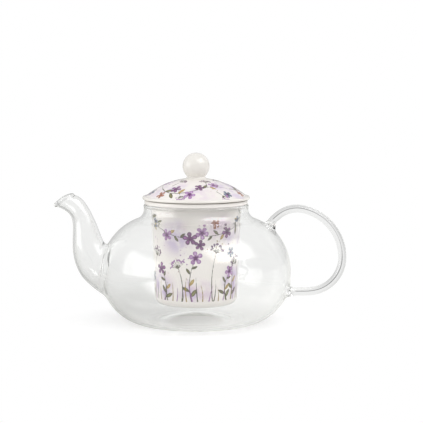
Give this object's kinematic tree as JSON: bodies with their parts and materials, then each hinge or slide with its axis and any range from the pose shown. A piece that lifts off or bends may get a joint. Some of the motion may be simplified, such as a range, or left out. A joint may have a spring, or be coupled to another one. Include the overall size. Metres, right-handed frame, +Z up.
{
  "type": "glass teapot",
  "caption": "Round clear glass teapot with a curved spout and a bent rod handle, a porcelain infuser cup hanging in its neck, and a domed porcelain lid with a ball knob.",
  "frame": {"origin": "on the pot's vertical axis, in the plane that the standing ring rests on", "axes": "+Z up along the pot's axis, +X towards the handle, -X towards the spout"},
  "size_m": [0.2143, 0.1392, 0.126],
  "materials": {
    "clear_glass": "clear, blown and fire-polished",
    "porcelain": "glossy warm-white glaze with a printed plant decor"
  },
  "bodies": {
    "pot": {"glass_body": "clear_glass", "spout": "clear_glass", "handle": "clear_glass", "upper_handle_seal": "clear_glass", "lower_handle_seal": "clear_glass"},
    "infuser": {"infuser": "porcelain"},
    "lid": {"lid": "porcelain", "lid_knob": "porcelain"}
  },
  "joints": [
    {"name": "infuser_lift", "type": "slide", "parent": "pot", "child": "infuser", "axis": [0, 0, 1], "range_m": [0, 0.085]},
    {"name": "lid_lift", "type": "slide", "parent": "infuser", "child": "lid", "axis": [0, 0, 1], "range_m": [0, 0.05]}
  ]
}
